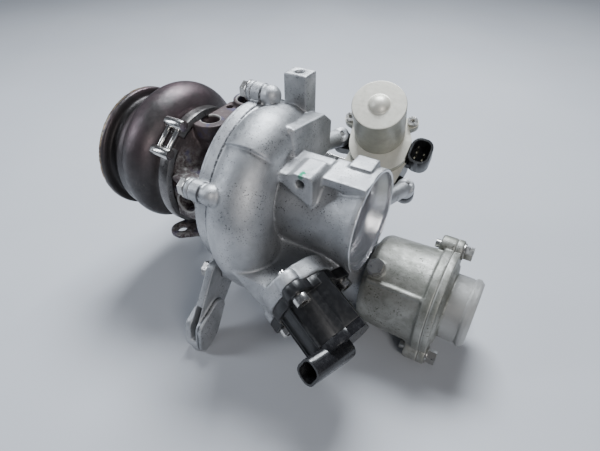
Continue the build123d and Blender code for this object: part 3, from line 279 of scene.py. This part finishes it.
def cast_metal(name, light, dark, grime, metallic, grain, depth, spots, rough=(0.42, 0.62)):
    """Sand-cast skin: mottled tone, pin-prick dark speckles, grime in broad patches."""
    s = Surface(name, metallic)
    broad = s.noise(0.045, 5.0, 0.6, 0.4)
    tone = s.blend(s.ramp(broad, 0.36, 0.66), dark, light)
    speck = s.ramp(s.noise(grain * 0.66, 3.0, 0.62), 0.58, 0.64)
    patch = s.ramp(s.noise(0.10, 4.0, 0.62), 0.42, 0.62)
    dirt = s.math("MULTIPLY", s.math("MULTIPLY", speck, patch), spots)
    tone = s.blend(dirt, tone, grime)
    fine = s.ramp(s.noise(grain * 2.2, 2.0, 0.5), 0.3, 0.7)
    tone = s.blend(s.math("MULTIPLY", fine, 0.10), tone, grime)
    s.tone = tone
    s.rough_mask = s.noise(0.3, 4.0, 0.6)
    s.rough(s.ramp(s.rough_mask, 0.3, 0.7, (rough[0],) * 3, (rough[1],) * 3))
    s.bump(s.noise(grain, 5.0, 0.62), depth)
    s.bump(s.noise(0.16, 2.0, 0.5), depth * 2.2, 0.5)
    s.colour(tone)
    return s


def aluminium_cover():
    """Compressor casting with a dark seam, a machined mouth and a dab of marker paint."""
    s = cast_metal("cast_aluminium", (0.60, 0.61, 0.625), (0.37, 0.38, 0.395), (0.045, 0.045, 0.05),
                   0.82, 1.7, 0.16, 1.0, (0.34, 0.52))
    x, r = s.radius()
    seam = s.math("MULTIPLY", s.span(x, *SEAM_X, 0.25), s.step(r, SEAM_R, SEAM_R + 1.0))
    broken = s.ramp(s.noise(0.5, 4.0, 0.6), 0.34, 0.5)
    seam = s.math("MULTIPLY", s.math("MULTIPLY", seam, broken), 0.85)
    s.tone = s.blend(seam, s.tone, (0.05, 0.05, 0.055))
    bell = s.math("MAXIMUM", s.math("ADD", s.math("MULTIPLY", x, BELL_SLOPE), BELL_MASK_R), BORE_MASK_R)
    inside = s.step(s.math("SUBTRACT", bell, r), 0.0, 0.15)
    machined = s.math("MULTIPLY", s.step(x, BORE_END_X - 0.5, BORE_END_X + 0.5), inside)
    rings = s.ramp(s.noise(2.0, 2.0, 0.5), 0.3, 0.7, (0.66, 0.67, 0.70), (0.82, 0.83, 0.86))
    tone = s.blend(machined, s.tone, rings)
    _, y, z = s.split()
    dab = s.math("MULTIPLY", s.span(x, *PAINT_X, 0.5), s.span(y, *PAINT_Y, 1.5))
    dab = s.math("MULTIPLY", dab, s.step(z, PAINT_Z, PAINT_Z + 2.0))
    ragged = s.math("MULTIPLY", dab, s.ramp(s.noise(0.35, 4.0, 0.6), 0.44, 0.52))
    tone = s.blend(ragged, tone, (0.005, 0.22, 0.12))
    s.colour(tone)
    base = s.ramp(s.rough_mask, 0.3, 0.7, (0.40,) * 3, (0.60,) * 3)
    s.rough(s.blend(machined, base, (0.14, 0.14, 0.14)))
    return s.mat


def damper_cast():
    """Damper casting: stained, with a paler joint and turned lines on the hose stub."""
    s = cast_metal("damper_aluminium", (0.47, 0.47, 0.445), (0.25, 0.255, 0.23), (0.07, 0.07, 0.055),
                   0.65, 1.3, 0.15, 1.0)
    stain = s.ramp(s.noise(0.075, 5.0, 0.65, 0.8), 0.46, 0.62)
    tone = s.blend(s.math("MULTIPLY", stain, 0.55), s.tone, (0.17, 0.175, 0.15))
    x, y, z = s.split()
    dy = s.math("SUBTRACT", y, DAMPER_AXIS[0])
    dz = s.math("SUBTRACT", z, DAMPER_AXIS[1])
    r = s.math("SQRT", s.math("ADD", s.math("MULTIPLY", dy, dy), s.math("MULTIPLY", dz, dz)))
    outside = s.step(r, STUB_R, STUB_R + 0.6)
    stub = s.math("MULTIPLY", s.step(x, STUB_X, STUB_X + 1.0), s.math("SUBTRACT", 1.0, outside))
    wave = s.add("ShaderNodeTexWave", wave_type="BANDS", bands_direction="X")
    wave.inputs["Scale"].default_value = 0.9
    wave.inputs["Distortion"].default_value = 0.4
    s.link(s.mm, wave.inputs["Vector"])
    lines = s.ramp(wave.outputs["Fac"], 0.2, 0.8, (0.36, 0.36, 0.35), (0.62, 0.62, 0.61))
    tone = s.blend(stub, tone, lines)
    edge = s.span(x, *DAMPER_JOINT, 0.3)
    tone = s.blend(s.math("MULTIPLY", edge, 0.5), tone, (0.6, 0.6, 0.57))
    s.colour(tone)
    s.bump(s.math("MULTIPLY", wave.outputs["Fac"], stub), 0.12)
    return s.mat


def turbine_cast():
    """Cast iron: graphite with a lighter purple-brown tint towards the top, rust on the outlet lip and
    painted shade in the groove by the outlet flange.
    """
    s = cast_metal("turbine_iron", (0.088, 0.082, 0.083), (0.042, 0.040, 0.043), (0.17, 0.15, 0.13),
                   0.65, 1.5, 0.14, 0.35, (0.33, 0.5))
    x, r = s.radius()
    _, y, z = s.split()
    # A lighter purple-brown tint, blended in towards the top of the housing.
    upper_tint = s.math("MULTIPLY", s.step(z, 5.0, 42.0), s.ramp(s.noise(0.05, 4.0, 0.6), 0.35, 0.65))
    tone = s.blend(s.math("MULTIPLY", upper_tint, 0.8), s.tone, (0.135, 0.092, 0.105))
    end = s.math("SUBTRACT", 1.0, s.step(x, LIP_X, LIP_X + 0.6))
    lip = s.math("MULTIPLY", end, s.step(r, LIP_R, LIP_R + 0.6))
    rust = s.ramp(s.noise(0.35, 5.0, 0.65), 0.42, 0.70, (0.27, 0.24, 0.18), (0.24, 0.13, 0.06))
    tone = s.blend(s.math("MULTIPLY", lip, s.ramp(s.noise(0.22, 4.0, 0.6), 0.36, 0.5)), tone, rust)
    # Painted shade: the groove by the outlet flange is darkened almost to black, where shade falls in it.
    groove_shade = s.span(x, *GROOVE_X, 0.6)
    tone = s.blend(s.math("MULTIPLY", groove_shade, 0.85), tone, (0.018, 0.016, 0.016))
    s.colour(tone)
    return s.mat


def centre_cast():
    """Bearing housing: brown-purple iron, crusted grey at the front, with bright port chamfers."""
    s = cast_metal("centre_iron", (0.115, 0.085, 0.085), (0.055, 0.045, 0.048), (0.24, 0.22, 0.21),
                   0.55, 1.0, 0.20, 0.5, (0.45, 0.7))
    x, y, z = s.split()
    front = s.math("MULTIPLY", s.step(y, -8.0, -24.0), s.math("SUBTRACT", 1.0, s.step(z, 18.0, 26.0)))
    crust = s.ramp(s.noise(0.32, 6.0, 0.72, 0.6), 0.44, 0.60)
    tone = s.blend(s.math("MULTIPLY", front, crust), s.tone, (0.30, 0.29, 0.28))
    blue = s.ramp(s.noise(0.12, 3.0, 0.5), 0.55, 0.66)
    tone = s.blend(s.math("MULTIPLY", blue, 0.45), tone, (0.05, 0.055, 0.16))
    outward = {"y": z, "z": s.math("MULTIPLY", y, -1.0)}
    for port_x, port_across, low, high, across, face in PORT_RIMS:
        out = outward[across]
        dx = s.math("SUBTRACT", x, port_x)
        dq = s.math("SUBTRACT", y if across == "y" else z, port_across)
        gap = s.math("SQRT", s.math("ADD", s.math("MULTIPLY", dx, dx), s.math("MULTIPLY", dq, dq)))
        rim = s.math("MULTIPLY", s.span(gap, low, high, 0.15), s.step(out, face - 0.3, face))
        tone = s.blend(rim, tone, (0.38, 0.37, 0.355))
    s.colour(tone)
    s.bump(s.math("MULTIPLY", crust, front), 0.35, 0.8)
    return s.mat


def worked_metal(name, base, dark, rough=(0.22, 0.4), metallic=1.0, grain=3.0, depth=0.02, streak=None):
    """Turned, pressed or plated metal with fine scratches and faint stains."""
    s = Surface(name, metallic)
    stain = s.ramp(s.noise(0.22, 4.0, 0.6), 0.35, 0.7)
    fine = s.ramp(s.noise(grain, 2.0, 0.6), 0.35, 0.75)
    tone = s.blend(s.math("MULTIPLY", fine, 0.35), base, dark)
    tone = s.blend(s.math("MULTIPLY", stain, 0.4), tone, dark)
    if streak:
        rusty = s.ramp(s.noise(0.5, 5.0, 0.7), 0.60, 0.72)
        tone = s.blend(s.math("MULTIPLY", rusty, 0.7), tone, streak)
    s.tone = tone
    s.colour(tone)
    s.rough(s.ramp(s.noise(0.6, 4.0, 0.6), 0.3, 0.7, (rough[0],) * 3, (rough[1],) * 3))
    s.bump(s.noise(grain, 4.0, 0.6), depth)
    return s


def can_metal():
    """Zinc-plated steel with painted light: chalky cream, painted as lit, on faces that look out along the
    motor, and olive grey painted as shade on its side.
    """
    s = worked_metal("can_steel", (0.80, 0.78, 0.70), (0.60, 0.585, 0.50), (0.34, 0.5), 0.35, 2.2, 0.025)
    # Painted light: faces that look along the motor's axis keep the pale tone, and the can's side is
    # darkened to olive grey as painted shade.
    dot = s.add("ShaderNodeVectorMath", operation="DOT_PRODUCT")
    s.link(s.coord.outputs["Normal"], dot.inputs[0])
    dot.inputs[1].default_value = MOTOR_AXIS
    side = s.math("SUBTRACT", 1.0, s.step(dot.outputs["Value"], 0.25, 0.8))
    olive = s.ramp(s.noise(0.12, 4.0, 0.6), 0.35, 0.65, (0.20, 0.20, 0.165), (0.31, 0.31, 0.265))
    s.colour(s.blend(s.math("MULTIPLY", side, 0.85), s.tone, olive))
    return s.mat


def moulded(name, base, scuff, rough=(0.3, 0.5), grain=2.5, depth=0.02):
    """Glass-filled plastic: near black, with a little dust and fine texture."""
    s = Surface(name, 0.0)
    dust = s.ramp(s.noise(0.25, 5.0, 0.65), 0.48, 0.75)
    tone = s.blend(s.math("MULTIPLY", dust, 0.35), base, scuff)
    s.colour(tone)
    s.rough(s.ramp(s.noise(0.5, 4.0, 0.6), 0.3, 0.7, (rough[0],) * 3, (rough[1],) * 3))
    s.bump(s.noise(grain, 4.0, 0.6), depth)
    s.bsdf.inputs["Specular IOR Level"].default_value = 0.55
    return s.mat


PAINTS = {
    "cast_aluminium": aluminium_cover(),
    "damper_aluminium": damper_cast(),
    "machined_aluminium": worked_metal("machined_aluminium", (0.74, 0.75, 0.77), (0.55, 0.56, 0.58),
                                       (0.18, 0.3)).mat,
    "centre_iron": centre_cast(),
    "turbine_iron": turbine_cast(),
    "steel": worked_metal("steel", (0.60, 0.59, 0.57), (0.33, 0.32, 0.30), (0.24, 0.42)).mat,
    "polished": worked_metal("polished", (0.78, 0.77, 0.75), (0.42, 0.40, 0.37), (0.14, 0.3)).mat,
    "dark_steel": worked_metal("dark_steel", (0.20, 0.185, 0.18), (0.10, 0.09, 0.085), (0.35, 0.55),
                               0.9, 2.0, 0.04, (0.20, 0.10, 0.05)).mat,
    "band_steel": worked_metal("band_steel", (0.23, 0.22, 0.215), (0.07, 0.065, 0.065), (0.25, 0.4),
                               1.0, 1.4, 0.03).mat,
    "can_steel": can_metal(),
    "bronze": worked_metal("bronze", (0.62, 0.42, 0.20), (0.40, 0.25, 0.12), (0.25, 0.4)).mat,
    "black_plastic": moulded("black_plastic", (0.010, 0.0105, 0.012), (0.045, 0.046, 0.05), (0.30, 0.46)),
    "black_gloss": moulded("black_gloss", (0.012, 0.012, 0.014), (0.06, 0.06, 0.065), (0.18, 0.34)),
    "rubber": moulded("rubber", (0.022, 0.022, 0.022), (0.07, 0.068, 0.065), (0.55, 0.75), 1.6, 0.05),
    "copper": worked_metal("copper", (0.55, 0.24, 0.11), (0.30, 0.12, 0.06), (0.3, 0.45)).mat,
    "contact": worked_metal("contact", (0.72, 0.66, 0.50), (0.50, 0.44, 0.30), (0.2, 0.32)).mat,
    "gasket": moulded("gasket", (0.14, 0.14, 0.13), (0.24, 0.23, 0.21), (0.7, 0.85), 1.2, 0.08),
}


def paint(obj, slot):
    obj.data.materials.clear()
    obj.data.materials.append(PAINTS[slot])


for part in frame["record"]["subparts"]:
    paint(NODES[part["node"]], part["material_slot"])


# ---- castings --------------------------------------------------------------------------------------
def crisp_cover(p):
    """Machined faces of the compressor housing keep their edges."""
    r = np.hypot(p[:, 1], p[:, 2])
    mouth = (p[:, 0] > -15) & (r < 31.5)
    ring = (p[:, 0] < -72.4) & (r > 44)
    return np.where(mouth | ring, 0.92, 0.0)


def ease(value):
    return np.clip(value, 0.0, 1.0) ** 2 * (3.0 - 2.0 * np.clip(value, 0.0, 1.0))


def volute_step(p):
    """The raised pad on the volute, whose front edge runs from the ring to the ledge's web."""
    degrees = np.degrees(np.arctan2(p[:, 2], p[:, 1]))
    r = np.hypot(p[:, 1], p[:, 2])
    round_shaft = ease((STEP_DEG - degrees) / 0.8) * ease((degrees - 78.0) / 26.0)
    along_shaft = ease((p[:, 0] + 72.6) / 0.8) * ease((-45.0 - p[:, 0]) / 4.0)
    return STEP_RISE * round_shaft * along_shaft * ease((r - 35.0) / 3.0)


def crisp_turbine(p):
    r = np.hypot(p[:, 1], p[:, 2])
    joint = (p[:, 0] > -123.4) & (r < 40)
    outlet = p[:, 0] < -163
    flange = p[:, 2] < -66
    return np.where(joint | outlet | flange, 0.85, 0.0)


def crisp_centre(p):
    r = np.hypot(p[:, 1], p[:, 2])
    joint = (p[:, 0] < -111) & (r < 40)
    return np.where(joint | (p[:, 2] > 34.2), 0.85, 0.0)


def crisp_damper(p):
    return np.where((p[:, 0] > 37.5) & (p[:, 0] < 47.4), 0.5, 0.0)


CASTINGS = {
    "compressor_housing": (0.6, 8, crisp_cover, volute_step, "cast_aluminium"),
    "turbine_housing": (0.8, 9, crisp_turbine, None, "turbine_iron"),
    "centre_housing": (0.7, 5, crisp_centre, None, "centre_iron"),
    "damper_body": (0.65, 5, crisp_damper, None, "damper_aluminium"),
    "support_leg": (0.5, 5, None, None, "cast_aluminium"),
}
for node, (voxel, passes, crisp, rise, slot) in CASTINGS.items():
    body = casting(node, voxel, passes, crisp, rise)
    paint(body, slot)

# Edge radii in millimetres
SOFTENED = {
    "backplate": 0.4, "damper_cover": 0.5, "diverter_body": 0.5, "diverter_cover": 0.6,
    "actuator_housing": 0.6, "actuator_cover": 0.6, "motor_can": 1.0, "backplate_bolts": 0.3,
    "diverter_screws": 0.25, "damper_bolts": 0.3, "damper_plug": 0.3, "damper_mount_bolts": 0.3,
    "actuator_bolts": 0.3, "actuator_screws": 0.2, "vband_band": 0.25, "vband_latch": 0.35,
    "vband_trunnions": 0.5, "link_rod": 0.3, "actuator_lever": 0.3, "wastegate_lever": 0.3,
    "wastegate_flap": 0.2, "wastegate_spindle": 0.3, "shaft_nut": 0.2,
}
for node, width in SOFTENED.items():
    soften(node, width)
for node in ("vband_latch", "vband_trunnions", "link_rod", "diverter_screws"):
    paint(NODES[node], "polished")
paint(NODES["vband_band"], "band_steel")


# ---- wheels ------------------------------------------------------------------------------------------
def spline(points, t):
    """A point on the smooth curve through the given points, t from 0 to 1."""
    span = t * (len(points) - 1)
    i = min(int(span), len(points) - 2)
    f = span - i
    near = [points[max(0, min(len(points) - 1, k))] for k in (i - 1, i, i + 1, i + 2)]

    def through(a, b, c, d):
        square = 2 * a - 5 * b + 4 * c - d
        cube = 3 * b - a - 3 * c + d
        return 0.5 * (2 * b + (c - a) * f + square * f * f + cube * f**3)

    return tuple(through(*values) for values in zip(*near))


def blade(hub, shroud, turn, thickness, start=0.0, rows=14, columns=7):
    """Vertices and faces of one blade between a hub and a shroud line of (x, r), in millimetres."""
    verts, faces = [], []
    for side in (-1, 1):
        for i in range(rows):
            t = start + (1 - start) * i / (rows - 1)
            h, s = spline(hub, t), spline(shroud, t)
            for j in range(columns):
                u = j / (columns - 1)
                x, r = h[0] + (s[0] - h[0]) * u, h[1] + (s[1] - h[1]) * u
                belly = 0.55 + 0.9 * math.sin(math.pi * min(1, 0.12 + t * 0.8))
                thick = thickness * (1.5 - 0.9 * u) * belly
                angle = turn(t) + side * thick / (2 * r)
                verts.append((x, r * math.cos(angle), r * math.sin(angle)))
    half = rows * columns
    for i in range(rows - 1):
        for j in range(columns - 1):
            a, b = i * columns + j, i * columns + j + 1
            c, d = b + columns, a + columns
            faces += [(a, b, c, d), (half + d, half + c, half + b, half + a)]
    rim = [i * columns for i in range(rows)]
    rim += [(rows - 1) * columns + j for j in range(1, columns)]
    rim += [i * columns + columns - 1 for i in range(rows - 2, -1, -1)]
    rim += [j for j in range(columns - 2, 0, -1)]
    for k, a in enumerate(rim):
        b = rim[(k + 1) % len(rim)]
        faces.append((a, b, half + b, half + a))
    return verts, faces


def wheel(name, node, hub_section, sets, slot):
    """A bladed wheel: a turned hub with sets of equal twisted blades."""
    verts, faces = [], []
    segments = 72
    for i in range(segments):
        a = 2 * math.pi * i / segments
        verts += [(x, r * math.cos(a), r * math.sin(a)) for x, r in hub_section]
    count = len(hub_section)
    for i in range(segments):
        j = (i + 1) % segments
        for k in range(count):
            m = (k + 1) % count
            faces.append((i * count + k, i * count + m, j * count + m, j * count + k))
    for number, first, shape in sets:
        points, quads = blade(*shape)
        for n in range(number):
            a = math.radians(first) + 2 * math.pi * n / number
            c, s = math.cos(a), math.sin(a)
            base = len(verts)
            verts += [(x, y * c - z * s, y * s + z * c) for x, y, z in points]
            faces += [tuple(base + q for q in quad) for quad in quads]
    obj = add_object(name, [(x * MM, y * MM, z * MM) for x, y, z in verts], faces, "rotor")
    paint(obj, slot)
    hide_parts(node)
    edge = obj.modifiers.new("split", "EDGE_SPLIT")
    edge.split_angle = math.radians(40)
    return obj


# Hub and shroud lines run from the blades' leading edge, or for the turbine from the scroll, in (x, r).
COMP_HUB = [(-54.5, 6.4), (-59, 7.4), (-64, 9.6), (-69, 14.6), (-72.6, 20.5), (-74.0, 25.7)]
COMP_SHROUD = [(-55.2, 19.8), (-59, 20.0), (-63, 20.8), (-66.5, 22.2), (-69.2, 24.0), (-71.0, 25.7)]
COMP_SECTION = [(-75, 3.1), (-75, 25.8), (-74.2, 25.8), (-73.4, 22.5), (-71.4, 18.0), (-68.4, 13.4),
                (-64.4, 9.6), (-59, 7.2), (-54.6, 6.2), (-53.0, 5.9), (-53.0, 3.1)]
TURBINE_HUB = [(-127.0, 19.5), (-128.4, 15.0), (-132.0, 11.5), (-138.0, 8.6), (-145.0, 7.0), (-150.5, 6.2)]
TURBINE_SHROUD = [(-133.6, 21.0), (-135.4, 19.8), (-138.4, 18.8), (-142.0, 18.4), (-146.5, 18.3),
                  (-150.8, 18.3)]
ROTOR_SECTION = [(-126, 3.0), (-126, 20.0), (-127.2, 20.0), (-128.4, 15.5), (-132, 11.4), (-138, 8.4),
                 (-145, 6.9), (-151, 6.0), (-153, 5.2), (-153.4, 0.01), (-94, 0.01), (-94, 3.97),
                 (-117, 3.97), (-117, 5.2), (-126, 5.2)]
SPLITTER_START = 0.34


def comp_turn(t):
    """How far a compressor blade has turned round the shaft, in radians."""
    return 0.95 * (1 - t) ** 1.6 - 0.30 * t**2.5


def turbine_turn(t):
    return 0.85 * t**1.8


wheel("compressor_wheel_bladed", "compressor_wheel", COMP_SECTION,
      [(6, 0, (COMP_HUB, COMP_SHROUD, comp_turn, 0.8)),
       (6, 30, (COMP_HUB, COMP_SHROUD, comp_turn, 0.8, SPLITTER_START))], "machined_aluminium")
wheel("turbine_rotor_bladed", "turbine_rotor", ROTOR_SECTION,
      [(11, 0, (TURBINE_HUB, TURBINE_SHROUD, turbine_turn, 0.9))], "dark_steel")


# ---- floor, light, camera --------------------------------------------------------------------------
def floor_sheet():
    low = cad_box[0].z - 0.0002
    mesh = bpy.data.meshes.new("floor")
    half = 3.0
    mesh.from_pydata([(-half, -half, low), (half, -half, low), (half, half, low), (-half, half, low)], [],
                     [(0, 1, 2, 3)])
    floor = bpy.data.objects.new("floor", mesh)
    bpy.context.scene.collection.objects.link(floor)
    pale = Surface("floor_pale", 0.0)
    pale.colour(pale.ramp(pale.noise(0.004, 3.0, 0.5), 0.3, 0.7, (0.50, 0.52, 0.56), (0.56, 0.58, 0.62)))
    pale.bsdf.inputs["Roughness"].default_value = 0.6
    mesh.materials.append(pale.mat)


def soft_light(name, place, target, size, power, colour):
    data = bpy.data.lights.new(name, "AREA")
    data.shape = "RECTANGLE"
    data.size, data.size_y = size
    data.energy = power
    data.color = colour
    lamp = bpy.data.objects.new(name, data)
    bpy.context.scene.collection.objects.link(lamp)
    lamp.location = place
    lamp.rotation_euler = (Vector(target) - Vector(place)).to_track_quat("-Z", "Y").to_euler()


def studio():
    world = bpy.data.worlds.new("studio")
    bpy.context.scene.world = world
    world.use_nodes = True
    background = world.node_tree.nodes["Background"]
    background.inputs["Color"].default_value = (0.80, 0.86, 1.0, 1.0)
    background.inputs["Strength"].default_value = 0.11
    middle = (-0.05, 0.0, 0.0)
    soft_light("key", (-0.20, 0.42, 0.72), middle, (0.45, 0.30), 15.0, (0.90, 0.95, 1.0))
    soft_light("front", (0.60, -0.55, 0.45), middle, (0.35, 0.20), 3.2, (1.0, 0.97, 0.94))
    soft_light("left", (-0.75, -0.40, 0.45), middle, (0.16, 0.5), 3.6, (0.86, 0.92, 1.0))


def photo_camera():
    data = bpy.data.cameras.new("photo")
    data.lens = 27.0
    data.sensor_width = 36.0
    data.clip_start = 0.001
    camera = bpy.data.objects.new("photo", data)
    bpy.context.scene.collection.objects.link(camera)
    back = Vector((0.390, -0.668, 0.634)).normalized()
    up = back.cross(Vector((0.863, 0.504, 0.0))).normalized()
    right = up.cross(back)
    turn = Matrix((right, up, back)).transposed().to_4x4()
    camera.matrix_world = Matrix.Translation((0.0625, -0.186, 0.1551)) @ turn
    bpy.context.scene.camera = camera


floor_sheet()
studio()
photo_camera()
